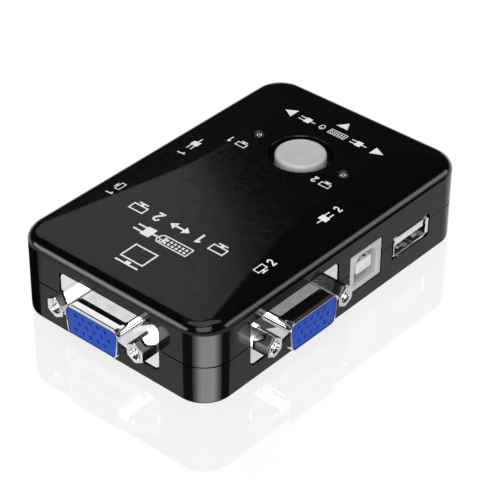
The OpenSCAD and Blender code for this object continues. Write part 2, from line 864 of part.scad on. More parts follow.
bottom_cover();
top_cover();
case_screws();
pcb();
pcb_screws();
button_cap();
tact_base();
tact_plate();
tact_plunger();
tact_dome();
tact_pins();
lamp(1);  // lamp_1
lamp(-1);  // lamp_2
lamp_leads();
lamp_spacers();
on_monitor_end(vga_z) vga_shell();  // vga_monitor_shell
on_monitor_end(vga_z) vga_insert();  // vga_monitor_insert
on_monitor_end(vga_z) vga_body();  // vga_monitor_body
on_monitor_end(vga_z) vga_bracket();  // vga_monitor_bracket
on_monitor_end(vga_z) vga_contacts();  // vga_monitor_contacts
on_monitor_end(vga_z) vga_jackscrews();  // vga_monitor_jackscrews
on_side(1, vga_side_y, vga_z) vga_shell();  // vga_pc1_shell
on_side(1, vga_side_y, vga_z) vga_insert();  // vga_pc1_insert
on_side(1, vga_side_y, vga_z) vga_body();  // vga_pc1_body
on_side(1, vga_side_y, vga_z) vga_bracket();  // vga_pc1_bracket
on_side(1, vga_side_y, vga_z) vga_contacts();  // vga_pc1_contacts
on_side(1, vga_side_y, vga_z) vga_jackscrews();  // vga_pc1_jackscrews
on_side(-1, vga_side_y, vga_z) vga_shell();  // vga_pc2_shell
on_side(-1, vga_side_y, vga_z) vga_insert();  // vga_pc2_insert
on_side(-1, vga_side_y, vga_z) vga_body();  // vga_pc2_body
on_side(-1, vga_side_y, vga_z) vga_bracket();  // vga_pc2_bracket
on_side(-1, vga_side_y, vga_z) vga_contacts();  // vga_pc2_contacts
on_side(-1, vga_side_y, vga_z) vga_jackscrews();  // vga_pc2_jackscrews
on_side(1, usb_b_y, usb_b_z) usb_b_housing();  // usb_b_1_housing
on_side(1, usb_b_y, usb_b_z) usb_b_shield();  // usb_b_1_shield
on_side(1, usb_b_y, usb_b_z) usb_b_contacts();  // usb_b_1_contacts
on_side(-1, usb_b_y, usb_b_z) usb_b_housing();  // usb_b_2_housing
on_side(-1, usb_b_y, usb_b_z) usb_b_shield();  // usb_b_2_shield
on_side(-1, usb_b_y, usb_b_z) usb_b_contacts();  // usb_b_2_contacts
on_side(1, usb_a_y, usb_a_z) usb_a_shell();  // usb_a_1_shell
on_side(1, usb_a_y, usb_a_z) usb_a_insulator();  // usb_a_1_insulator
on_side(1, usb_a_y, usb_a_z) usb_a_contacts();  // usb_a_1_contacts
on_side(-1, usb_a_y, usb_a_z) usb_a_shell();  // usb_a_2_shell
on_side(-1, usb_a_y, usb_a_z) usb_a_insulator();  // usb_a_2_insulator
on_side(-1, usb_a_y, usb_a_z) usb_a_contacts();  // usb_a_2_contacts
on_console_end(usb_a_z) usb_a_shell();  // usb_a_3_shell
on_console_end(usb_a_z) usb_a_insulator();  // usb_a_3_insulator
on_console_end(usb_a_z) usb_a_contacts();  // usb_a_3_contacts
controller_chip();
controller_leads();
video_chips();
video_chip_leads();
crystal();
capacitors();
chip_resistors();
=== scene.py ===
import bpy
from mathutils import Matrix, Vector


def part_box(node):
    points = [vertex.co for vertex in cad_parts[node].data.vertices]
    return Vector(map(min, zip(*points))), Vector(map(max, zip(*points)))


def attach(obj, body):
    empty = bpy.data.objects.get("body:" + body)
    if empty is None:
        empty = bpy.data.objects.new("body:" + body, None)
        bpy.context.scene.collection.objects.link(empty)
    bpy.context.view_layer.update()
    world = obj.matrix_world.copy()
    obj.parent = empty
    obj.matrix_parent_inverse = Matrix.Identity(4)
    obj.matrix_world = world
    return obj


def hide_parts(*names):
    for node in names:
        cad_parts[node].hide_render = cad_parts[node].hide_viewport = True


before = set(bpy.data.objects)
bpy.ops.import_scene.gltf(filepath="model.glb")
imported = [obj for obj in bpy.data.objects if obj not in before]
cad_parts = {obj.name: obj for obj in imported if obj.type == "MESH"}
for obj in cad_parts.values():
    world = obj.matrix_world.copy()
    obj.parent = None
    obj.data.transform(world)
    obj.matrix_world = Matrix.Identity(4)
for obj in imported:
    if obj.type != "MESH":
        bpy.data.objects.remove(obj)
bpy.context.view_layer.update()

import math

import bmesh
import bpy
from mathutils import Matrix, Vector
from mathutils.geometry import delaunay_2d_cdt

# Lengths are in mm until a piece is finished; the frame itself is in metres.
MM = 0.001
scene = bpy.context.scene


def box(node):
    """Corners of a CAD node's box in mm."""
    lo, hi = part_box(node)
    return lo/MM, hi/MM


# Sizes of the case, from the covers' boxes and from what the photograph shows.
TOP_LO, TOP_HI = box("top_cover")
HALF_W, HALF_L = TOP_HI.x, TOP_HI.y
CROWN_H = 1.0
RIM_Z = TOP_HI.z - CROWN_H
SEAM_TOP = TOP_LO.z
SEAM_LOW = TOP_LO.z - 0.15
LIP_TOP = box("bottom_cover")[1].z
CORNER_R = 7.7
EDGE_R = 2.5
FOOT_R = 0.6
WALL = 2.0
CEILING_Z = RIM_Z - WALL
MONITOR_RUN = 47.5
SIDE_RUN = 11.5
CONSOLE_RUN = 9.5
POST_X, POST_Y = HALF_W - 6.5, HALF_L - 6.5
WELL_R, WELL_LOW_R, WELL_DEPTH = 8.0, 7.2, 3.8
BUTTON_R = 6.4
BOARD_POST_X, BOARD_POST_Y = 10, 3

# A video socket's flange, and how far its jack screws stand from its middle.
FLANGE_W, FLANGE_H, FLANGE_R = 30.8, 12.1, 1.5
JACK_X = 12.5


# --- Shapes ------------------------------------------------------------------------

def round_rect(w, l, r, arc=8, nx=1, ny=1):
    """Anticlockwise outline with arc steps per corner, nx and ny steps along the sides."""
    a, b = w/2 - r, l/2 - r
    points = []
    sides = ((a, b, 0, nx, -1, 0), (-a, b, 90, ny, 0, -1),
             (-a, -b, 180, nx, 1, 0), (a, -b, 270, ny, 0, 1))
    for cx, cy, turn, steps, dx, dy in sides:
        for i in range(arc + 1):
            t = math.radians(turn + 90*i/arc)
            points.append((cx + r*math.cos(t), cy + r*math.sin(t)))
        x, y = points[-1]
        run = 2*a if dx else 2*b
        for j in range(1, steps):
            points.append((x + dx*run*j/steps, y + dy*run*j/steps))
    return points


def circle(r, steps=48, at=(0.0, 0.0)):
    return [(at[0] + r*math.cos(math.tau*i/steps), at[1] + r*math.sin(math.tau*i/steps))
            for i in range(steps)]


def level(points, z):
    """A flat outline lifted to height z."""
    return [(x, y, z) for x, y in points]


def upright(points, y):
    """An outline stood up in a wall's plane, at depth y."""
    return [(x, y, z) for x, z in points]


def loft(loops, ring=False):
    """Closed skin over loops of one length, capped at its ends unless it is a ring."""
    n = len(loops[0])
    rows = len(loops)
    verts = [p for points in loops for p in points]
    faces = []
    for row in range(rows if ring else rows - 1):
        above = (row + 1) % rows
        for i in range(n):
            j = (i + 1) % n
            faces.append((row*n + i, row*n + j, above*n + j, above*n + i))
    if not ring:
        faces.append(tuple(reversed(range(n))))
        faces.append(tuple((rows - 1)*n + i for i in range(n)))
    return verts, faces


def turned(profile, steps=48, at=(0.0, 0.0)):
    """Solid of revolution about a vertical axis from (radius, height) pairs."""
    return loft([level(circle(r, steps, at), z) for r, z in profile])


def drilled(profile, steps=24, at=(0.0, 0.0)):
    """Solid of revolution about an axis along Y from (radius, depth) pairs."""
    return loft([upright(circle(r, steps, at), y) for r, y in profile])


def block(lo, hi):
    (x0, y0, z0), (x1, y1, z1) = lo, hi
    outline = [(x0, y0), (x1, y0), (x1, y1), (x0, y1)]
    return loft([level(outline, z0), level(outline, z1)])


def arc_steps(start, end, steps):
    """Angles in radians from start to end degrees."""
    return [math.radians(start + (end - start)*i/steps) for i in range(steps + 1)]


def merged(*parts):
    """Several (verts, faces) as one."""
    verts, faces = [], []
    for v, f in parts:
        faces += [tuple(i + len(verts) for i in face) for face in f]
        verts += v
    return verts, faces


def placed(part, matrix):
    verts, faces = part
    return [tuple(matrix @ Vector(v)) for v in verts], faces


def to_mesh(part):
    """A mesh from (verts, faces), its faces turned outwards."""
    mesh = bpy.data.meshes.new("piece")
    mesh.from_pydata(part[0], [], part[1])
    bm = bmesh.new()
    bm.from_mesh(mesh)
    bmesh.ops.remove_doubles(bm, verts=bm.verts, dist=1e-5)
    bmesh.ops.recalc_face_normals(bm, faces=bm.faces)
    bm.to_mesh(mesh)
    bm.free()
    return mesh


def boolean(mesh, part, operation):
    """The mesh with a (verts, faces) part cut away, added or kept."""
    body = bpy.data.objects.new("body", mesh)
    tool = bpy.data.objects.new("tool", to_mesh(part))
    for o in (body, tool):
        scene.collection.objects.link(o)
    modifier = body.modifiers.new("boolean", "BOOLEAN")
    modifier.operation = operation
    modifier.solver = "MANIFOLD"
    modifier.object = tool
    bpy.context.view_layer.update()
    graph = bpy.context.evaluated_depsgraph_get()
    result = bpy.data.meshes.new_from_object(body.evaluated_get(graph))
    if not result.polygons:
        raise RuntimeError("a boolean came out empty")
    for o in (body, tool):
        data = o.data
        bpy.data.objects.remove(o)
        bpy.data.meshes.remove(data)
    return result


def cut(mesh, part):
    return boolean(mesh, part, "DIFFERENCE")


def add(mesh, part):
    return boolean(mesh, part, "UNION")


def keep(mesh, part):
    return boolean(mesh, part, "INTERSECT")


def shade(mesh, normal_at=None, angle=35):
    """Smooth shading with sharp edges; normal_at gives the true normals of outer faces."""
    mesh.shade_smooth()
    mesh.set_sharp_from_angle(angle=math.radians(angle))
    if normal_at is None:
        return
    exact = [normal_at(v.co) for v in mesh.vertices]
    normals = [tuple(n.vector) for n in mesh.corner_normals]
    for face in mesh.polygons:
        if all(exact[i] is not None for i in face.vertices):
            for loop in face.loop_indices:
                normals[loop] = tuple(exact[mesh.loops[loop].vertex_index])
    mesh.normals_split_custom_set(normals)


def piece(name, mesh, material, nodes=(), body="case", place=None):
    """Puts a finished mesh in the scene, in metres, riding on a body."""
    if place is not None:
        mesh.transform(place)
    mesh.transform(Matrix.Scale(MM, 4))
    mesh.name = name
    obj = bpy.data.objects.new(name, mesh)
    scene.collection.objects.link(obj)
    mesh.materials.clear()
    mesh.materials.append(material)
    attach(obj, body)
    if nodes:
        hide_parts(*nodes)
    return obj


# --- Materials ---------------------------------------------------------------------

# The stretch of a noise's values that carries nearly all of its change.
NOISE_FROM, NOISE_TO = 0.35, 0.65


class Finish:
    """A principled material with a few node helpers."""

    def __init__(self, name, **values):
        self.material = bpy.data.materials.new(name)
        self.material.use_nodes = True
        self.tree = self.material.node_tree
        self.bsdf = self.tree.nodes["Principled BSDF"]
        for key, value in values.items():
            self.bsdf.inputs[key.replace("_", " ")].default_value = value
        self.coords = self.node("ShaderNodeTexCoord").outputs["Object"]

    def node(self, kind, **values):
        made = self.tree.nodes.new(kind)
        for key, value in values.items():
            made.inputs[key].default_value = value
        return made

    def link(self, source, target):
        self.tree.links.new(source, target)

    def noise(self, scale, detail=2.0):
        """Noise whose scale is in cells per metre."""
        made = self.node("ShaderNodeTexNoise", Scale=scale, Detail=detail)
        self.link(self.coords, made.inputs["Vector"])
        return made.outputs["Fac"]

    def spread(self, value, low, high):
        """Noise mapped to low..high."""
        made = self.node("ShaderNodeMapRange")
        made.inputs["From Min"].default_value = NOISE_FROM
        made.inputs["From Max"].default_value = NOISE_TO
        made.inputs["To Min"].default_value = low
        made.inputs["To Max"].default_value = high
        self.link(value, made.inputs["Value"])
        return made.outputs["Result"]

    def tint(self, value, dark, light):
        """Base colour between dark and light along a noise."""
        ramp = self.node("ShaderNodeValToRGB")
        ramp.color_ramp.elements[0].position = NOISE_FROM
        ramp.color_ramp.elements[1].position = NOISE_TO
        ramp.color_ramp.elements[0].color = (*dark, 1)
        ramp.color_ramp.elements[1].color = (*light, 1)
        self.link(value, ramp.inputs["Fac"])
        self.link(ramp.outputs["Color"], self.bsdf.inputs["Base Color"])

    def rough(self, value, low, high):
        self.link(self.spread(value, low, high), self.bsdf.inputs["Roughness"])

    def bump(self, *heights):
        """Bumps stacked from (value, distance in metres) pairs."""
        normal = None
        for value, distance in heights:
            made = self.node("ShaderNodeBump", Strength=1.0, Distance=distance)
            self.link(value, made.inputs["Height"])
            if normal:
                self.link(normal, made.inputs["Normal"])
            normal = made.outputs["Normal"]
        self.link(normal, self.bsdf.inputs["Normal"])


def plastic(name, dark, light, rough, grain=2e-6, scale=4000, ior=1.46, **values):
    """Moulded plastic: faint mottling, uneven gloss and a fine grain."""
    made = Finish(name, IOR=ior, **values)
    made.tint(made.noise(180, 4), dark, light)
    made.rough(made.noise(700, 5), *rough)
    made.bump((made.noise(scale, 1), grain), (made.noise(90, 2), grain*3))
    return made.material


def metal(name, dark, light, rough, grain=1e-6):
    """Plated metal: uneven gloss, a fine grain and a slightly wavy face."""
    made = Finish(name, Metallic=1.0)
    made.tint(made.noise(400, 5), dark, light)
    made.rough(made.noise(1200, 4), *rough)
    made.bump((made.noise(5000, 2), grain), (made.noise(350, 2), grain*6))
    return made.material


CASE = plastic("case_black", (0.0010, 0.0010, 0.0011), (0.0017, 0.0017, 0.0018), (0.11, 0.17),
               grain=1.2e-6, scale=3200, ior=1.34)
NICKEL = metal("socket_nickel", (0.84, 0.84, 0.85), (0.93, 0.93, 0.94), (0.12, 0.17),
               grain=3e-7)
MIRROR = metal("shell_nickel", (0.84, 0.84, 0.85), (0.93, 0.93, 0.94), (0.03, 0.06),
               grain=1e-7)
BRIGHT = metal("turned_nickel", (0.72, 0.72, 0.73), (0.84, 0.84, 0.85), (0.06, 0.10),
               grain=5e-8)
STEEL = metal("screw_steel", (0.50, 0.50, 0.52), (0.62, 0.62, 0.64), (0.22, 0.34))
TINNED = metal("tinned_steel", (0.62, 0.63, 0.65), (0.74, 0.75, 0.77), (0.22, 0.36))
GOLD = metal("contact_gold", (0.72, 0.46, 0.16), (0.86, 0.60, 0.26), (0.18, 0.30))
BLUE = plastic("video_blue", (0.014, 0.068, 0.44), (0.019, 0.080, 0.50), (0.40, 0.50),
               ior=1.25)
WHITE = plastic("socket_white", (0.80, 0.80, 0.79), (0.86, 0.86, 0.85), (0.34, 0.46))
# The USB-B housing's white plastic, made darker than the tongue's white: painted shade on the
# housing's face.
SHADED_WHITE = plastic("white_painted_shade", (0.54, 0.54, 0.54), (0.60, 0.60, 0.60), (0.34, 0.46))
OFF_WHITE = plastic("off_white", (0.66, 0.64, 0.58), (0.74, 0.72, 0.66), (0.36, 0.5))
BUTTON = plastic("button_grey", (0.51, 0.51, 0.51), (0.55, 0.55, 0.55), (0.36, 0.46))
INK = plastic("print_white", (0.84, 0.84, 0.84), (0.90, 0.90, 0.90), (0.45, 0.6))
CHIP = plastic("chip_black", (0.012, 0.012, 0.013), (0.02, 0.02, 0.022), (0.5, 0.65))
BOARD = plastic("board_green", (0.010, 0.065, 0.022), (0.018, 0.100, 0.036), (0.25, 0.4))
SLEEVE = plastic("capacitor_sleeve", (0.015, 0.020, 0.05), (0.022, 0.030, 0.07), (0.3, 0.4))
LENS = plastic("lamp_lens", (0.10, 0.10, 0.11), (0.13, 0.13, 0.14), (0.02, 0.06),
               grain=3e-7, ior=1.5, Transmission_Weight=0.9)

FINISHES = {
    "case_screws": STEEL, "pcb_screws": STEEL, "pcb": BOARD, "tact_base": CHIP,
    "tact_plate": TINNED, "tact_plunger": OFF_WHITE, "tact_dome": GOLD, "tact_pins": TINNED,
    "lamp_leads": TINNED, "lamp_spacers": OFF_WHITE, "controller_chip": CHIP,
    "controller_leads": TINNED, "video_chips": CHIP, "video_chip_leads": TINNED,
    "crystal": TINNED, "capacitors": SLEEVE, "chip_resistors": CHIP,
}
for place in ("monitor", "pc1", "pc2"):
    FINISHES[f"vga_{place}_bracket"] = STEEL
    FINISHES[f"vga_{place}_body"] = CHIP
    FINISHES[f"vga_{place}_contacts"] = GOLD
for number in (1, 2):
    FINISHES[f"usb_b_{number}_shield"] = NICKEL
    FINISHES[f"usb_b_{number}_contacts"] = GOLD
for number in (1, 2, 3):
    FINISHES[f"usb_a_{number}_insulator"] = WHITE
    FINISHES[f"usb_a_{number}_contacts"] = GOLD
for name, material in FINISHES.items():
    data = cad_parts[name].data
    data.materials.clear()
    data.materials.append(material)


# --- Where the sockets stand ---------------------------------------------------------

def socket_place(node, out, z):
    """Matrix that puts a socket drawn with +Y outwards on the wall facing out."""
    lo, hi = box(node)
    middle = (lo + hi)/2
    x = out[0]*HALF_W if out[0] else middle.x
    y = out[1]*HALF_L if out[1] else middle.y
    return Matrix.Translation((x, y, z)) @ Matrix.Rotation(math.atan2(-out[0], out[1]), 4, "Z")


def middle_z(node):
    """Height of the middle of a CAD node's box."""
    lo, hi = box(node)
    return (lo.z + hi.z)/2


VGA = {place: socket_place(f"vga_{place}_shell", out, middle_z(f"vga_{place}_shell"))
       for place, out in (("monitor", (0, 1)), ("pc1", (1, 0)), ("pc2", (-1, 0)))}
USB_B = {number: socket_place(f"usb_b_{number}_housing", out, middle_z(f"usb_b_{number}_housing"))
         for number, out in ((1, (1, 0)), (2, (-1, 0)))}
USB_A_LIP_H = 6.1
USB_A = {number: socket_place(f"usb_a_{number}_shell", out,
                              box(f"usb_a_{number}_shell")[1].z - USB_A_LIP_H/2)
         for number, out in ((1, (1, 0)), (2, (-1, 0)), (3, (0, -1)))}
LAMPS = {number: (box(f"lamp_{number}")[0] + box(f"lamp_{number}")[1])/2 for number in (1, 2)}
CAP_LO, CAP_HI = box("button_cap")
BUTTON_AT = (0.0, (CAP_LO.y + CAP_HI.y)/2)


# --- Case --------------------------------------------------------------------------

def inset(x, y, half_w, half_l, r):
    """How far a point lies inside a rounded rectangle."""
    dx, dy = abs(x) - (half_w - r), abs(y) - (half_l - r)
    return r - math.hypot(max(dx, 0), max(dy, 0)) - min(max(dx, dy), 0)


def smooth_min(a, b, k):
    """The smaller of two values, blended where they differ by less than k."""
    t = max(k - abs(a - b), 0)/k
    return min(a, b) - t*t*k/4


def crown(x, y):
    """Height of the hipped top face above its rim."""
    rim = inset(x, y, HALF_W - EDGE_R, HALF_L - EDGE_R, CORNER_R - EDGE_R)
    rise = smooth_min((HALF_L - EDGE_R - y)/MONITOR_RUN, 1, 0.25)
    rise = smooth_min(rise, (HALF_L - EDGE_R + y)/CONSOLE_RUN, 0.06)
    rise = smooth_min(rise, (HALF_W - EDGE_R - abs(x))/SIDE_RUN, 0.05)
    return CROWN_H*max(smooth_min(rise, rim/4, 0.02), 0)


def outline_normal(x, y):
    """Direction straight out from the case's outline at a point near it."""
    dx, dy = abs(x) - (HALF_W - CORNER_R), abs(y) - (HALF_L - CORNER_R)
    if min(dx, dy) > 0:
        n = Vector((dx, dy, 0))
    else:
        n = Vector((1, 0, 0)) if dx > dy else Vector((0, 1, 0))
    return Vector((math.copysign(n.x, x), math.copysign(n.y, y), 0)).normalized()


def crown_normal(x, y, step=0.05):
    """Direction straight out from the hipped top face."""
    slope_x = (crown(x + step, y) - crown(x - step, y))/(2*step)
    slope_y = (crown(x, y + step) - crown(x, y - step))/(2*step)
    return Vector((-slope_x, -slope_y, 1)).normalized()


def top_normal(p, slip=0.04):
    """Normal of the top cover's outer face at p, or None away from it."""
    depth = inset(p.x, p.y, HALF_W, HALF_L, CORNER_R)
    side = outline_normal(p.x, p.y)
    if depth > EDGE_R - 0.02:
        if abs(p.z - RIM_Z - crown(p.x, p.y)) > slip:
            return None
        back = max(EDGE_R + 0.15 - depth, 0)
        return crown_normal(p.x - back*side.x, p.y - back*side.y)
    rise = min(max((p.z - RIM_Z + EDGE_R)/EDGE_R, 0), 1)
    angle = math.asin(rise)
    if abs(depth - EDGE_R*(1 - math.cos(angle))) > slip:
        return None
    back = EDGE_R + 0.15 - depth
    edge = crown_normal(p.x - back*side.x, p.y - back*side.y)
    angle *= 1 - edge.angle(Vector((0, 0, 1)))/(math.pi/2)
    return side*math.cos(angle) + Vector((0, 0, math.sin(angle)))


def low_normal(p, slip=0.04):
    """Normal of the bottom cover's outer face at p, or None away from it."""
    depth = inset(p.x, p.y, HALF_W, HALF_L, CORNER_R)
    if depth > FOOT_R + slip:
        return Vector((0, 0, -1)) if p.z < slip/4 else None
    angle = math.asin(min(max((FOOT_R - p.z)/FOOT_R, 0), 1))
    if abs(depth - FOOT_R*(1 - math.cos(angle))) > slip:
        return None
    side = outline_normal(p.x, p.y)
    return side*math.cos(angle) - Vector((0, 0, math.sin(angle)))


def case_outline(gap, fine=True):
    """The case's outline moved in by gap, its long sides cut finely or left whole."""
    steps = (46, 78) if fine else (1, 1)
    return round_rect(2*(HALF_W - gap), 2*(HALF_L - gap), CORNER_R - gap, 16, *steps)


def top_shell():
    """Outer solid of the top cover, its hipped face finely meshed."""
    chamfer = 0.12
    loops = [level(case_outline(chamfer), SEAM_TOP),
             level(case_outline(0), SEAM_TOP + chamfer)]
    for t in arc_steps(0, 90, 10):
        loops.append(level(case_outline(EDGE_R*(1 - math.cos(t))),
                           RIM_Z - EDGE_R + EDGE_R*math.sin(t)))
    verts, faces = loft(loops)
    faces.pop()
    rim = [(x, y) for x, y, z in loops[-1]]
    step = 0.8
    nx, ny = int(HALF_W/step), int(HALF_L/step)
    grid = [(i*step, j*step) for i in range(-nx, nx + 1) for j in range(-ny, ny + 1)
            if inset(i*step, j*step, HALF_W, HALF_L, CORNER_R) > EDGE_R + 0.45*step]
    count = len(rim)
    points = [Vector(p) for p in rim + grid]
    result = delaunay_2d_cdt(points, [], [list(range(count))], 1, 1e-6)
    start = len(verts)
    for p in result[0]:
        on_rim = inset(p.x, p.y, HALF_W, HALF_L, CORNER_R) < EDGE_R + 0.02
        verts.append((p.x, p.y, RIM_Z + (0 if on_rim else crown(p.x, p.y))))
    faces += [tuple(start + i for i in f) for f in result[2]]
    return verts, faces


def corners(x, y):
    """The four points at plus and minus x and y."""
    return [(sx*x, sy*y) for sx in (-1, 1) for sy in (-1, 1)]


def window(outline):
    """Cutter for a hole in a wall, its outer edge eased; outline(gap) grows the hole."""
    ease = 0.12
    return loft([upright(outline(g), y) for g, y in
                 ((0, -WALL - 1), (0, -ease), (ease*0.3, -ease*0.3), (ease, 0.01), (ease, 1))])


def all_windows():
    """Cutter for every socket's hole in the case."""
    video = window(lambda g: round_rect(FLANGE_W + 0.4 + 2*g, FLANGE_H + 0.4 + 2*g, FLANGE_R + g, 6))
    usb_b = window(lambda g: round_rect(12 + 2*g, 10.8 + 2*g, 0.25 + g, 3))
    usb_a = window(lambda g: round_rect(14.6 + 2*g, 6.3 + 2*g, 0.15 + g, 3))
    parts = [placed(video, m) for m in VGA.values()]
    parts += [placed(usb_b, m) for m in USB_B.values()]
    parts += [placed(usb_a, m) for m in USB_A.values()]
    return merged(*parts)


def build_top_cover():
    mesh = to_mesh(top_shell())
    mesh = cut(mesh, loft([level(case_outline(WALL, False), z) for z in (0, CEILING_Z)]))
    posts = [turned([(3.1, SEAM_TOP), (3.1, CEILING_Z + 0.4)], 40, at)
             for at in corners(POST_X, POST_Y)]
    collar_z = TOP_HI.z - WELL_DEPTH - 1
    posts.append(turned([(9.2, collar_z), (9.2, CEILING_Z + 0.4)], 96, BUTTON_AT))
    mesh = add(mesh, merged(*posts))
    mesh = cut(mesh, loft([level(case_outline(1.1, False), z) for z in (0, SEAM_TOP + 1)]))
    pilots = [turned([(1.3, 0), (1.3, SEAM_TOP + 3.5)], 24, at) for at in corners(POST_X, POST_Y)]
    mesh = cut(mesh, merged(*pilots))
    bore = BUTTON_R + 0.25
    floor = TOP_HI.z - WELL_DEPTH
    ease = 0.35
    profile = [(bore, 0), (bore, floor - 0.12), (bore + 0.12, floor), (WELL_LOW_R - 0.25, floor),
               (WELL_LOW_R - 0.07, floor + 0.07), (WELL_LOW_R, floor + 0.25)]
    for t in arc_steps(0, 78, 7):
        profile.append((WELL_R + ease*(1 - math.cos(t)), TOP_HI.z - ease*(1 - math.sin(t))))
    profile.append((WELL_R + ease + 0.6, TOP_HI.z + 1))
    mesh = cut(mesh, turned(profile, 128, BUTTON_AT))
    holes = []
    for spot in LAMPS.values():
        z = RIM_Z + crown(spot.x, spot.y)
        holes.append(turned([(1.65, 0), (1.65, z - 0.15), (1.7, z - 0.05), (2.0, z + 0.25),
                             (2.0, z + 1)], 40, (spot.x, spot.y)))
    mesh = cut(mesh, merged(*holes))
    mesh = cut(mesh, all_windows())
    shade(mesh, top_normal)
    return mesh


def build_bottom_cover():
    chamfer = 0.12
    profile = [(FOOT_R*(1 - math.sin(t)), FOOT_R*(1 - math.cos(t))) for t in arc_steps(0, 90, 6)]
    profile += [(0, SEAM_LOW - chamfer), (chamfer, SEAM_LOW), (1.2, SEAM_LOW),
                (1.2, LIP_TOP - 0.1), (1.3, LIP_TOP)]
    mesh = to_mesh(loft([level(case_outline(gap), z) for gap, z in profile]))
    mesh = cut(mesh, loft([level(case_outline(WALL, False), z) for z in (WALL, LIP_TOP + 1)]))
    posts = [turned([(3.1, WALL - 0.4), (3.1, SEAM_LOW)], 40, at) for at in corners(POST_X, POST_Y)]
    board_posts = [(s*BOARD_POST_X, BOARD_POST_Y) for s in (-1, 1)]
    posts += [turned([(2, WALL - 0.4), (2, 3.1)], 32, at) for at in board_posts]
    mesh = add(mesh, merged(*posts))
    bores = [turned([(2.75, -1), (2.6, -0.01), (2.4, 0.2), (2.4, 3), (1.4, 3), (1.4, 11)], 40, at)
             for at in corners(POST_X, POST_Y)]
    bores += [turned([(1, WALL/2), (1, 4)], 24, at) for at in board_posts]
    mesh = cut(mesh, merged(*bores))
    mesh = cut(mesh, all_windows())
    shade(mesh, low_normal)
    return mesh


COVERS = [piece("cover_top", build_top_cover(), CASE, ["top_cover"]),
          piece("cover_bottom", build_bottom_cover(), CASE, ["bottom_cover"])]


# --- Button and lamps ------------------------------------------------------------------

def build_button():
    top = CAP_HI.z
    flange_low = TOP_HI.z - 5.8
    skirt = BUTTON_R - 1.2
    profile = [(2.2, CAP_LO.z), (2.2, top - 1.3), (skirt, top - 1.3), (skirt, flange_low),
               (7.3, flange_low), (7.3, flange_low + 0.8), (BUTTON_R, flange_low + 0.8),
               (BUTTON_R, top - 0.95)]
    edge = 0.85
    for t in arc_steps(10, 90, 8):
        profile.append((BUTTON_R - edge*(1 - math.cos(t)), top - edge + edge*math.sin(t)))
    for r, dip in ((5.3, 0.02), (5.0, 0.06), (4.2, 0.09), (2.8, 0.11), (1.2, 0.12), (0.3, 0.12)):
        profile.append((r, top - dip))
    mesh = to_mesh(turned(profile, 128, BUTTON_AT))
    shade(mesh, angle=22)
    return mesh


def build_lamp(spot, low, high):
    r = 1.5
    centre = high - r
    profile = [(1.9, low), (1.9, low + 1), (r, low + 1), (r, centre)]
    profile += [(r*math.cos(t), centre + r*math.sin(t)) for t in arc_steps(6, 88, 14)]
    mesh = to_mesh(turned(profile, 48, (spot.x, spot.y)))
    shade(mesh)
    return mesh


def build_die(spot, low, high):
    """Lead frame seen inside a lamp: three posts with rounded heads, in a row."""
    parts = []
    row_x, row_y = 0.75, 0.66
    for step in (-0.62, 0, 0.62):
        at = (spot.x + row_x*step, spot.y + row_y*step)
        head = high - 1.0
        profile = [(0.12, low), (0.12, head - 0.25)]
        profile += [(0.2*math.cos(t), head + 0.2*math.sin(t)) for t in arc_steps(-60, 86, 6)]
        parts.append(turned(profile, 16, at))
    mesh = to_mesh(merged(*parts))
    shade(mesh)
    return mesh


piece("button_face", build_button(), BUTTON, ["button_cap"], "button")
LENSES = []
for number, spot in LAMPS.items():
    low, high = (corner.z for corner in box(f"lamp_{number}"))
    LENSES.append(piece(f"lamp_lens_{number}", build_lamp(spot, low, high), LENS,
                        [f"lamp_{number}"]))
    piece(f"lamp_die_{number}", build_die(spot, low + 0.3, high), TINNED)


# --- Video sockets -------------------------------------------------------------------

SHELL_W, SHELL_H, SHELL_T = 16.8, 7.9, 0.3
SHELL_ROUND = 1.5
SLANT = math.radians(6)
FACE_Y, BACK_Y, MOUTH_Y = -0.4, -1.4, 5.4
WAY_PITCH, ROW_PITCH = 2.29, 1.98


def d_outline(grow, arc=8):
    """D outline, wide side up, grown outwards."""
    r = SHELL_ROUND + grow
    zc = SHELL_H/2 - SHELL_ROUND
    points = []
    for sx, sz, start, end in ((1, 1, -6, 90), (-1, 1, 90, 186),
                               (-1, -1, 186, 270), (1, -1, 270, 354)):
        x = SHELL_W/2 - (SHELL_H/2 - sz*zc)*math.tan(SLANT) - SHELL_ROUND/math.cos(SLANT)
        for t in arc_steps(start, end, arc):
            points.append((sx*x + r*math.cos(t), sz*zc + r*math.sin(t)))
    return points


def build_video_flange():
    plate = [upright(round_rect(FLANGE_W - 2*g, FLANGE_H - 2*g, FLANGE_R - g, 8), y) for g, y in
             ((0, BACK_Y), (0, FACE_Y - 0.14), (0.04, FACE_Y - 0.05), (0.14, FACE_Y))]
    mesh = to_mesh(loft(plate))
    mesh = cut(mesh, loft([upright(d_outline(-SHELL_T/2), y) for y in (-3, 3)]))
    studs = [drilled([(1.5, -3), (1.5, 1)], 24, (s*JACK_X, 0)) for s in (-1, 1)]
    mesh = cut(mesh, merged(*studs))
    shade(mesh, angle=28)
    return mesh


def build_video_shell():
    loops = [upright(d_outline(-g), y) for g, y in
             ((0, FACE_Y - 0.2), (0, MOUTH_Y - 0.16), (0.03, MOUTH_Y - 0.06), (0.1, MOUTH_Y),
              (0.2, MOUTH_Y), (0.27, MOUTH_Y - 0.06), (0.3, MOUTH_Y - 0.16),
              (SHELL_T, FACE_Y - 0.2))]
    mesh = to_mesh(loft(loops, ring=True))
    shade(mesh, angle=28)
    return mesh


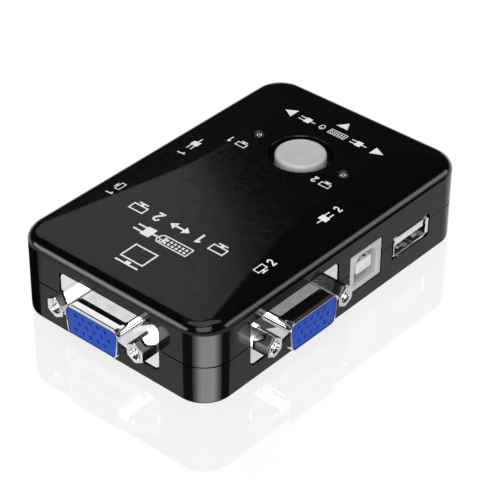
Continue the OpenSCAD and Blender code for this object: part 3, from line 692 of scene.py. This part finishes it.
def build_video_insert():
    gap = SHELL_T + 0.03
    face = MOUTH_Y - 0.18
    mesh = to_mesh(loft([upright(d_outline(-gap - g), y) for g, y in
                         ((0, BACK_Y), (0, face - 0.15), (0.04, face - 0.05), (0.15, face))]))
    holes = []
    for row in (0, 1, 2):
        for way in range(5):
            x = (way - 2)*WAY_PITCH + (-WAY_PITCH/4 if row == 1 else WAY_PITCH/4)
            holes.append(drilled([(0.5, -3), (0.5, face - 0.12), (0.54, face - 0.04),
                                  (0.62, face + 0.04), (0.62, face + 1)], 24,
                                 (x, (1 - row)*ROW_PITCH)))
    mesh = cut(mesh, merged(*holes))
    shade(mesh, angle=28)
    return mesh


def threaded(radius, depth_from, depth_to, pitch=0.635, cut_depth=0.22, steps=36):
    """Cutter with a helical thread, along Y."""
    loops = []
    rows = int((depth_to - depth_from)/pitch*8)
    for row in range(rows + 1):
        y = depth_from + (depth_to - depth_from)*row/rows
        points = []
        for i in range(steps):
            phase = (y/pitch + i/steps) % 1
            r = radius - 0.1 + cut_depth*(1 - abs(2*phase - 1))
            t = math.tau*i/steps
            points.append((r*math.cos(t), y, r*math.sin(t)))
        loops.append(points)
    return loft(loops)


def build_jackscrew():
    across, length = 4.75, 4.8
    face = FACE_Y + length
    corner_r = across/2/math.cos(math.pi/6)
    hexagon = []
    for k in range(6):
        for turn in (-1.2, 0, 1.2):
            t = math.radians(90 + 60*k + turn)
            r = corner_r - (0.03 if turn else 0.0)
            hexagon.append((r*math.cos(t), r*math.sin(t)))
    mesh = to_mesh(loft([upright(hexagon, FACE_Y), upright(hexagon, face)]))
    mesh = keep(mesh, drilled([(2.9, FACE_Y - 0.01), (2.9, face - 0.17), (2.72, face - 0.08),
                               (2.5, face + 0.01)], 72))
    mesh = add(mesh, drilled([(1.2, -7.1), (1.35, -6.95), (1.35, FACE_Y + 0.3)], 36))
    mesh = cut(mesh, threaded(1.32, face - 5.5, face - 0.25))
    mesh = cut(mesh, drilled([(1.3, face - 0.6), (1.3, face - 0.32), (1.62, face + 0.02),
                              (1.62, face + 1)], 36))
    shade(mesh, angle=25)
    return mesh


video_flange = build_video_flange()
video_shell = build_video_shell()
video_face = build_video_insert()
jackscrew = build_jackscrew()
SHELLS = {}
for place, matrix in VGA.items():
    SHELLS[place] = [
        piece(f"video_{part}_{place}", mesh.copy(), MIRROR, [f"vga_{place}_shell"],
              place=matrix)
        for part, mesh in (("flange", video_flange), ("shell", video_shell))]
    for obj in SHELLS[place]:
        normals = obj.modifiers.new("face_normals", "WEIGHTED_NORMAL")
        normals.weight = 100
        normals.keep_sharp = True
    piece(f"video_face_{place}", video_face.copy(), BLUE, [f"vga_{place}_insert"],
          place=matrix)
    for side, s in (("a", -1), ("b", 1)):
        piece(f"jackscrew_{place}_{side}", jackscrew.copy(), BRIGHT,
              [f"vga_{place}_jackscrews"],
              place=matrix @ Matrix.Translation((s*JACK_X, 0, 0)))


# --- USB-B sockets -------------------------------------------------------------------

def usb_b_mouth(grow):
    """USB-B mouth: a square with its two upper corners cut off."""
    w, h, c = 8.45/2 + grow, 7.78/2 + grow, 1.9 + 0.4*grow
    return [(-w, -h), (w, -h), (w, h - c), (w - c, h), (c - w, h), (-w, h - c)]


def build_usb_b():
    front, back = -0.1, -15.6
    mesh = to_mesh(loft([upright(round_rect(11.6 - 2*g, 10.4 - 2*g, 0.3 - g, 4), y) for g, y in
                         ((0, back), (0, front - 0.15), (0.05, front - 0.04), (0.15, front))]))
    mesh = cut(mesh, loft([upright(usb_b_mouth(g), y) for g, y in
                           ((0, front - 9), (0, front - 0.3), (0.22, front + 0.01), (0.22, 1))]))
    mesh = cut(mesh, loft([upright(round_rect(5.5, 3.1, 0.3, 3), y)
                           for y in (front - 12, front - 8)]))
    shade(mesh, angle=28)
    return mesh


def build_usb_b_tongue():
    front = -0.1
    mesh = to_mesh(loft([upright(round_rect(5.6 - 2*g, 3.2 - 2*g, 0.35 - g/2, 3), y) for g, y in
                         ((0, front - 9.5), (0, front - 0.75), (0.06, front - 0.56),
                          (0.2, front - 0.5))]))
    bars = []
    for x in (-1.25, 1.25):
        for z in (-1, 1):
            lo, hi = sorted((z*1.31, z*2.0))
            bars.append(block((x - 0.5, front - 14, lo), (x + 0.5, front - 1.3, hi)))
    mesh = cut(mesh, merged(*bars))
    shade(mesh, angle=28)
    return mesh


usb_b = build_usb_b()
usb_b_tongue = build_usb_b_tongue()
for number, matrix in USB_B.items():
    # The body takes the darker copy of the white plastic, as painted shade.
    piece(f"usb_b_body_{number}", usb_b.copy(), SHADED_WHITE, [f"usb_b_{number}_housing"],
          place=matrix)
    piece(f"usb_b_tongue_{number}", usb_b_tongue.copy(), WHITE, [f"usb_b_{number}_housing"],
          place=matrix)


# --- USB-A sockets -------------------------------------------------------------------

USB_A_W, USB_A_H, USB_A_T, USB_A_LENGTH = 12.5, 5.12, 0.3, 13.0
LIP_DEPTH, LIP_CURL = 0.42, 58
FINGER_X = 3.1


def usb_a_lip(root, reach, half, turn):
    """Lip curling out from the shell's end to the wall's face, about the socket's axis."""
    t = USB_A_T
    back = -0.8
    loops = []
    steps = 12
    for k in range(steps + 1):
        s = -1 + 2*k/steps
        across = half*math.copysign(abs(s)**0.6, s) if s else 0.0
        short = max(abs(across) - (half - 0.5), 0)/0.5
        run = 1 - 0.45*short**2
        outer, inner = [], []
        for a in arc_steps(0, LIP_CURL*run, 7):
            c = root + (reach - root)*math.tan(a/2)/math.tan(math.radians(LIP_CURL/2))
            y = LIP_DEPTH*(math.sin(a)/math.sin(math.radians(LIP_CURL)) - 1)
            outer.append((c, y))
            inner.append((c - t*math.cos(a), y + t*math.sin(a)*0.4))
        outer.insert(0, (root, back))
        inner.insert(0, (root - t, back))
        loops.append([(c, y, across) for c, y in outer + inner[::-1]])
    return placed(loft(loops), Matrix.Rotation(turn, 4, "Y"))


def build_usb_a(drop):
    """USB-A can with curled lips, spring fingers, and side tabs reaching down by drop."""
    w, h, t = USB_A_W, USB_A_H, USB_A_T
    tube = loft([upright(round_rect(w + 2*g, h + 2*g, 0.35 + g, 4), y) for g, y in
                 ((t, -LIP_DEPTH), (t, -USB_A_LENGTH), (0, -USB_A_LENGTH), (0, -LIP_DEPTH))],
                ring=True)
    parts = [tube]
    for turn, root, reach, half in ((0, w/2 + t, 6.8, 2.2), (math.pi, w/2 + t, 6.8, 2.2),
                                    (math.pi/2, h/2 + t, 3.0, 5.4),
                                    (-math.pi/2, h/2 + t, 3.0, 5.4)):
        parts.append(usb_a_lip(root, reach, half, turn))
    for s in (-1, 1):
        x0, x1 = sorted((s*(w/2 + 0.02), s*(w/2 + 0.28)))
        parts.append(block((x0, -9, -drop), (x1, -7.8, -1)))
        finger = []
        for y, z in ((-5.6, -2.54), (-4.0, -2.3), (-2.4, -1.9), (-1.7, -1.85), (-1.1, -2.1)):
            finger.append([(s*FINGER_X + x, y, z + dz) for x, dz in
                           ((-0.9, 0), (0.9, 0), (0.9, 0.18), (-0.9, 0.18))])
        parts.append(loft(finger))
    mesh = to_mesh(merged(*parts))
    shade(mesh, angle=30)
    return mesh


def build_usb_a_painted_slot_shade():
    """Black patches round the spring fingers in the floor of a USB-A can: painted shade where the
    openings there would look dark.
    """
    floor_z = -USB_A_H/2
    parts = []
    for x in (-FINGER_X, FINGER_X):
        parts.append(block((x - 1.5, -5.5, floor_z - 0.02), (x + 1.5, -0.9, floor_z + 0.025)))
    mesh = to_mesh(merged(*parts))
    shade(mesh)
    return mesh


for number, matrix in USB_A.items():
    drop = matrix.translation.z - box(f"usb_a_{number}_shell")[0].z
    piece(f"usb_a_can_{number}", build_usb_a(drop), NICKEL, [f"usb_a_{number}_shell"],
          place=matrix)
    # Black patches of painted shade where the openings round the fingers would be.
    piece(f"usb_a_slots_{number}", build_usb_a_painted_slot_shade(), CHIP, place=matrix)
    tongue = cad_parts[f"usb_a_{number}_insulator"]
    bevel = tongue.modifiers.new("soft_edges", "BEVEL")
    bevel.width = 0.08*MM
    bevel.segments = 2
    bevel.limit_method = "ANGLE"


# --- Printed marks on the top face -----------------------------------------------------

def bar(x0, y0, x1, y1):
    return [[(x0, y0), (x1, y0), (x1, y1), (x0, y1)]]


def box_frame(x0, y0, x1, y1, t):
    return (bar(x0, y0, x1, y0 + t) + bar(x0, y1 - t, x1, y1)
            + bar(x0, y0 + t, x0 + t, y1 - t) + bar(x1 - t, y0 + t, x1, y1 - t))


def stroke(points, t):
    """Bars along a broken line."""
    marks = []
    for (x0, y0), (x1, y1) in zip(points, points[1:]):
        d = math.hypot(x1 - x0, y1 - y0)
        nx, ny = -(y1 - y0)/d*t/2, (x1 - x0)/d*t/2
        marks.append([(x0 + nx, y0 + ny), (x0 - nx, y0 - ny),
                      (x1 - nx, y1 - ny), (x1 + nx, y1 + ny)])
    return marks


def computer(h):
    """Screen on a stand, height h; returns marks and width."""
    w, t = 1.3*h, 0.11*h
    marks = box_frame(0, 0.28*h, w, h, t)
    marks += bar(w/2 - 0.12*h, 0.1*h, w/2 + 0.12*h, 0.28*h) + bar(0.25*h, 0, w - 0.25*h, 0.12*h)
    return marks, w


def plug(h):
    """Plug lying on its side: lead, body and two pins."""
    w, t = 2.3*h, 0.15*h
    marks = bar(0, 0.5*h - t/2, 0.7*h, 0.5*h + t/2) + bar(0.7*h, 0, 1.5*h, h)
    marks += bar(1.5*h, 0.15*h, w, 0.15*h + t) + bar(1.5*h, 0.85*h - t, w, 0.85*h)
    return marks, w


def keyboard(h):
    w, t = 2.5*h, 0.10*h
    marks = box_frame(0, 0, w, h, t)
    key = 0.2*h
    for row in (0, 1):
        for k in range(6):
            x = 0.28*h + k*0.36*h
            y = 0.27*h + row*0.32*h
            marks += bar(x, y, x + key, y + key)
    return marks, w


def mouse(h):
    w = 0.75*h
    n = 20
    angles = arc_steps(0, 360, n)
    ring = [(w/2 + w/2*math.cos(a), h/2 + h/2*math.sin(a)) for a in angles]
    small = [(w/2 + (x - w/2)*0.72, h/2 + (y - h/2)*0.78) for x, y in ring]
    marks = [[ring[k], ring[k + 1], small[k + 1], small[k]] for k in range(n)]
    marks += bar(w/2 - 0.06*h, 0.5*h, w/2 + 0.06*h, 0.95*h)
    return marks, w


def double_arrow(h):
    w, t = 1.7*h, 0.16*h
    marks = bar(0.35*h, 0.5*h - t/2, w - 0.35*h, 0.5*h + t/2)
    marks += [[(0, 0.5*h), (0.5*h, 0.12*h), (0.5*h, 0.88*h)]]
    marks += [[(w, 0.5*h), (w - 0.5*h, 0.88*h), (w - 0.5*h, 0.12*h)]]
    return marks, w


def digit(number):
    def drawn(h):
        t = 0.17*h
        if number == 1:
            marks = bar(0.2*h, 0, 0.2*h + t, h) + stroke([(0.02*h, 0.72*h), (0.26*h, 0.94*h)], t)
            return marks, 0.4*h
        points = [(0.06*h, 0.7*h), (0.14*h, 0.87*h), (0.3*h, 0.92*h), (0.46*h, 0.85*h),
                  (0.5*h, 0.68*h), (0.42*h, 0.5*h), (0.1*h, 0.12*h)]
        return stroke(points, t) + bar(0.02*h, 0, 0.56*h, t), 0.58*h
    return drawn


def row_of(height, width, *signs):
    """Signs side by side, spread to the given width, about the origin."""
    drawn = [sign(height) for sign in signs]
    space = (width - sum(w for marks, w in drawn))/max(len(drawn) - 1, 1)
    marks, x = [], -width/2
    for shapes, w in drawn:
        marks += [[(u + x, v - height/2) for u, v in shape] for shape in shapes]
        x += w + space
    return marks


def printed(marks, at, reading):
    """Marks laid on the top face at a point, read along the given direction."""
    (cx, cy), (ux, uy) = at, reading
    parts = []
    for shape in marks:
        flat = [(cx + u*ux - v*uy, cy + u*uy + v*ux) for u, v in shape]
        low = [(x, y, RIM_Z + crown(x, y) - 0.06) for x, y in flat]
        high = [(x, y, RIM_Z + crown(x, y) + 0.03) for x, y in flat]
        parts.append(loft([low, high]))
    return merged(*parts)


def triangle(tip, base, half):
    """Solid arrowhead from the middle of its base to its tip."""
    (tx, ty), (bx, by) = tip, base
    d = math.hypot(tx - bx, ty - by)
    nx, ny = -(ty - by)/d*half, (tx - bx)/d*half
    return [[(tx, ty), (bx + nx, by + ny), (bx - nx, by - ny)]]


EAST, NORTH, SOUTH = (1, 0), (0, 1), (0, -1)
monitor_sign = (box_frame(-3.55, -2.77, 3.55, 2.77, 0.42) + bar(-3.5, 4.0, 3.5, 4.5)
                + bar(-0.7, 3.2, 0.7, 4.0))
prints = [
    printed(triangle((15.75, -33.3), (12.75, -33.3), 1.7), (0, 0), EAST),
    printed(triangle((0, -39.4), (0, -36.3), 1.75), (0, 0), EAST),
    printed(triangle((-15.4, -33.2), (-12.2, -33.2), 1.55), (0, 0), EAST),
    printed(row_of(2.1, 21, plug, keyboard, mouse, plug), (0.3, -33.1), EAST),
    printed(row_of(2.35, 5.6, computer, digit(1)), (14.65, -14.1), EAST),
    printed(row_of(2.35, 5.6, computer, digit(2)), (-11.7, -14.1), EAST),
    printed(row_of(2.3, 8.2, plug, digit(1)), (22.55, -5.8), NORTH),
    printed(row_of(2.2, 5.3, computer, digit(1)), (23.8, 19.35), NORTH),
    printed(row_of(2.3, 8.2, plug, digit(2)), (-21.2, -5.1), SOUTH),
    printed(row_of(2.5, 5.8, computer, digit(2)), (-23.1, 19.65), SOUTH),
    printed(row_of(3.5, 29.5, computer, digit(1), double_arrow, digit(2), computer),
            (1.5, 21.5), EAST),
    printed(row_of(3.3, 16.8, keyboard, mouse, plug), (1.25, 27.3), EAST),
    printed(monitor_sign, (1.25, 35.1), EAST),
]
marks_mesh = to_mesh(merged(*prints))
piece("print_marks", marks_mesh, INK)


# --- Floor, light and camera -----------------------------------------------------------

FLOOR_SIZE = 3000
FLOOR_GLOW = 0.80
AZIMUTH, ELEVATION, ROLL = 221.088, 35.762, 0.357
floor_outline = round_rect(FLOOR_SIZE, FLOOR_SIZE, 400, 12)
floor_mesh = to_mesh(loft([level(floor_outline, z) for z in (-5, -0.02)]))
floor_mesh.transform(Matrix.Scale(MM, 4))
floor = bpy.data.objects.new("floor", floor_mesh)
scene.collection.objects.link(floor)
ground = Finish("floor_white", IOR=1.45)
ground.tint(ground.noise(6, 3), (0.10, 0.10, 0.10), (0.11, 0.11, 0.11))
ground.rough(ground.noise(20, 2), 0.03, 0.06)
ground.bsdf.inputs["Emission Color"].default_value = (1, 1, 1, 1)
ground.bsdf.inputs["Emission Strength"].default_value = FLOOR_GLOW
ground.bump((ground.noise(30, 1), 1e-6))
floor_mesh.materials.append(ground.material)


def direction(azimuth, elevation):
    """Unit vector towards a bearing, counted like the viewer's: 0 is -Y and 90 is +X."""
    a, e = math.radians(azimuth), math.radians(elevation)
    return Vector((math.sin(a)*math.cos(e), -math.cos(a)*math.cos(e), math.sin(e)))


def area_light(name, width, height, radiance):
    """Rectangular light of a size in metres, hidden from the camera."""
    lamp = bpy.data.lights.new(name, "AREA")
    lamp.shape = "RECTANGLE"
    lamp.size, lamp.size_y = width, height
    lamp.energy = radiance*math.pi*width*height
    obj = bpy.data.objects.new(name, lamp)
    scene.collection.objects.link(obj)
    obj.visible_camera = False
    return obj


def softbox(name, azimuth, elevation, width, height, radiance, distance=1.5):
    """Light on a bearing, of an angular size in degrees seen from the object."""
    across, upward = (2*distance*math.tan(math.radians(angle/2)) for angle in (width, height))
    obj = area_light(name, across, upward, radiance)
    obj.location = direction(azimuth, elevation)*distance
    obj.rotation_euler = (math.pi/2 - math.radians(elevation), 0, math.radians(azimuth))
    return obj


def wall_glow(name, place, offset, width, height, radiance):
    """Narrow light along the wall above a socket, facing outward and down."""
    obj = area_light(name, width*MM, height*MM, radiance)
    outward = place.to_3x3() @ Vector((0, 1, -0.3))
    obj.location = (place.translation + Vector(offset))*MM
    obj.rotation_euler = outward.to_track_quat("-Z", "Z").to_euler()
    return obj


def only_for(lamp, *seen):
    """Limits a lamp to some objects."""
    group = bpy.data.collections.new(lamp.name + "_sees")
    for obj in seen:
        group.objects.link(obj)
    lamp.light_linking.receiver_collection = group


softbox("overhead", 0, 90, 50, 50, 2.2)
softbox("front_fill", AZIMUTH, ELEVATION, 40, 40, 4.5)
softbox("key", 59.5, 40, 26, 16, 0.92)

# Low lights that only the case's glossy edges mirror.
for name, azimuth, elevation, width, height, radiance in (
        ("low_right", 147, 12, 44, 24, 5.0), ("low_right_core", 147, 7.5, 40, 15, 4.5),
        ("low_left", 311, 14, 38, 28, 3.0), ("low_left_core", 311, 13.5, 34, 17, 1.9)):
    lamp = softbox(name, azimuth, elevation, width, height, radiance)
    lamp.visible_diffuse = False
    only_for(lamp, *COVERS)

# Panels that only the bright video shells mirror.
only_for(softbox("beyond_monitor", 139, 38, 34, 28, 0.84), *SHELLS["monitor"])
only_for(wall_glow("edge_glow_monitor", VGA["monitor"], (3.3, 0.12, 7.6), 24, 2.2, 1.0),
         *SHELLS["monitor"])
only_for(softbox("beyond_pc2", 319, 38, 34, 28, 0.28), *SHELLS["pc2"])

# A panel beyond the object that only the glossy floor sees, so the floor mirrors the object.
only_for(softbox("floor_panel", AZIMUTH - 180, ELEVATION, 60, 50, 1.7), floor)

# Two small lights that only the lamps' domes mirror, as glints.
for index, turn in enumerate((-62, 62)):
    only_for(softbox(f"lamp_glint_{index}", AZIMUTH + turn, 52, 26, 26, 18), *LENSES)


def card(name, rows, height, radiance):
    """Studio card lying on the floor, seen only as a reflection; rows are (near, far) points."""
    verts = [Vector((x, y, height))*MM for pair in rows for x, y in pair]
    faces = [(2*i, 2*i + 1, 2*i + 3, 2*i + 2) for i in range(len(rows) - 1)]
    mesh = bpy.data.meshes.new(name)
    mesh.from_pydata(verts, [], faces)
    if mesh.polygons[0].normal.z < 0:
        mesh.flip_normals()
    obj = bpy.data.objects.new(name, mesh)
    scene.collection.objects.link(obj)
    paint = Finish(name, Roughness=0.9, Specular_IOR_Level=0.0, Emission_Color=(1, 1, 1, 1),
                   Emission_Strength=radiance)
    paint.tint(paint.noise(40), (0.010, 0.010, 0.010), (0.014, 0.014, 0.014))
    clear = paint.node("ShaderNodeBsdfTransparent").outputs["BSDF"]
    face = paint.node("ShaderNodeNewGeometry").outputs["Backfacing"]
    mix = paint.node("ShaderNodeMixShader")
    paint.link(face, mix.inputs["Fac"])
    paint.link(paint.bsdf.outputs["BSDF"], mix.inputs[1])
    paint.link(clear, mix.inputs[2])
    paint.link(mix.outputs["Shader"], paint.tree.nodes["Material Output"].inputs["Surface"])
    mesh.materials.append(paint.material)
    obj.visible_camera = False
    obj.visible_diffuse = False
    obj.visible_shadow = False


def corner_card(name, sx, sy, start, end, radiance):
    """Card that one upright corner of the case mirrors between two angles."""
    toward = direction(AZIMUTH, 0)
    reach = RIM_Z/math.tan(math.radians(ELEVATION))
    rows = []
    for t in arc_steps(start, end, 12):
        normal = Vector((sx*math.sin(t), sy*math.cos(t), 0))
        mirrored = 2*toward.dot(normal)*normal - toward
        at = Vector((sx*(HALF_W - CORNER_R), sy*(HALF_L - CORNER_R), 0)) + CORNER_R*normal
        rows.append([(at + 0.4*normal).xy, (at + reach*mirrored).xy])
    card(name, rows, 0.02, radiance)


def wall_card(name, start, end, azimuth, near, far, radiance):
    """Card that the rounded edge above one wall mirrors, between two distances."""
    out = direction(azimuth, 0).xy
    rows = [[Vector(p) + near*out, Vector(p) + far*out] for p in (start, end)]
    card(name, rows, 0.04, radiance)


corner_card("card_front_dark_y", -1, 1, 3, 22, 0.07)
for index, (start, end, radiance) in enumerate((
        (22.5, 27, 1.8), (27, 31, 4.0), (31, 36, 6.8), (36, 59, 8.8), (59, 63, 6.8),
        (63, 67, 4.0), (67, 71, 1.8))):
    corner_card(f"card_front_{index}", -1, 1, start, end, radiance)
corner_card("card_front_dark_x", -1, 1, 72, 90, 0.07)
corner_card("card_left_dark", 1, 1, 3, 45, 0.0)
wall_card("card_right_light", (-25, HALF_L), (HALF_W, HALF_L), 146, 92, 800, 6.5)
wall_card("card_right_dark", (-22, HALF_L), (HALF_W, HALF_L), 140, 25.5, 31, 0.0)
wall_card("card_left_dark_strip", (-HALF_W, 40), (-HALF_W, -HALF_L), 313, 26, 110, 0.0)
wall_card("card_left_floor", (-HALF_W, HALF_L - CORNER_R), (-HALF_W, -HALF_L), 319, 0.3, 25.8, 0.7)
wall_card("card_right_floor", (CORNER_R - HALF_W, HALF_L), (HALF_W - CORNER_R, HALF_L), 139,
          0.3, 25.3, 0.84)

world = bpy.data.worlds.new("studio")
world.use_nodes = True
world.node_tree.nodes["Background"].inputs["Color"].default_value = (0.042, 0.042, 0.043, 1)
world.node_tree.nodes["Background"].inputs["Strength"].default_value = 1.0
scene.world = world
scene.view_settings.view_transform = "Standard"
scene.view_settings.look = "None"

TARGET = Vector((-0.686, 2.598, 9.477))*MM
DISTANCE = 491.67*MM
lens = bpy.data.cameras.new("camera")
lens.sensor_width = 36
lens.lens = 154.09
lens.clip_start, lens.clip_end = 0.01, 20
camera = bpy.data.objects.new("camera", lens)
scene.collection.objects.link(camera)
camera.location = TARGET + DISTANCE*direction(AZIMUTH, ELEVATION)
camera.rotation_euler = (Matrix.Rotation(math.radians(AZIMUTH), 4, "Z")
                         @ Matrix.Rotation(math.radians(90 - ELEVATION), 4, "X")
                         @ Matrix.Rotation(math.radians(ROLL), 4, "Z")).to_euler()
scene.camera = camera
